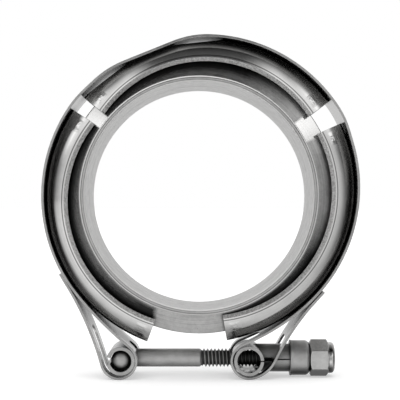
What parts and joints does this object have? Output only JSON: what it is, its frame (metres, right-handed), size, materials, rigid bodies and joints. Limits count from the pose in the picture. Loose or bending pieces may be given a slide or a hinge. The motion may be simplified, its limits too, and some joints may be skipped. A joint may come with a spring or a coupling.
{
  "type": "v_band_clamp",
  "caption": "V-band clamp joining 76 mm weld flanges: strap with V retainers, T-bolt, trunnion and lock nut",
  "frame": {"origin": "centre of the bore, in the mating plane of the two flanges", "axes": "+Y along the bore towards the rear flange, +X towards the nut and parallel to the bolt, +Z away from the bolt"},
  "size_m": [0.1082, 0.0316, 0.1173],
  "materials": {
    "steel_strap": "satin",
    "steel_retainer": "polished stainless",
    "steel_flange": "machined",
    "steel_bolt": "satin",
    "steel_formed": "satin",
    "steel_nut": "machined",
    "nylon": "matt"
  },
  "bodies": {
    "clamp": {"band_strap": "steel_strap", "retainer_top": "steel_retainer", "retainer_left": "steel_retainer", "retainer_right": "steel_retainer", "t_bolt_bush": "steel_formed"},
    "front_flange": {"flange_front": "steel_flange"},
    "rear_flange": {"flange_rear": "steel_flange"},
    "bolt": {"t_bolt": "steel_bolt", "trunnion_sleeve": "steel_formed"},
    "saddle": {"trunnion_saddle": "steel_formed", "saddle_cup": "steel_formed"},
    "nut": {"lock_nut": "steel_nut", "nut_insert": "nylon"}
  },
  "joints": [
    {"name": "front_flange_turn", "type": "hinge", "parent": "clamp", "child": "front_flange", "pos_m": [0, 0, 0], "axis": [0, 1, 0], "continuous": true},
    {"name": "rear_flange_turn", "type": "hinge", "parent": "clamp", "child": "rear_flange", "pos_m": [0, 0, 0], "axis": [0, 1, 0], "continuous": true},
    {"name": "bolt_rock", "type": "hinge", "parent": "clamp", "child": "bolt", "pos_m": [-0.02659, 0, -0.0562], "axis": [0, 1, 0], "range_deg": [-0.45, 0.45]},
    {"name": "saddle_slide", "type": "slide", "parent": "bolt", "child": "saddle", "axis": [1, 0, 0], "range_m": [0, 0.007]},
    {"name": "nut_spin", "type": "hinge", "parent": "saddle", "child": "nut", "pos_m": [0.0425, 0, -0.0562], "axis": [1, 0, 0], "range_deg": [0, 1980]}
  ],
  "couplings": [
    {"joint": "saddle_slide", "follows": "nut_spin", "m_per_rad": 0.00020213}
  ]
}
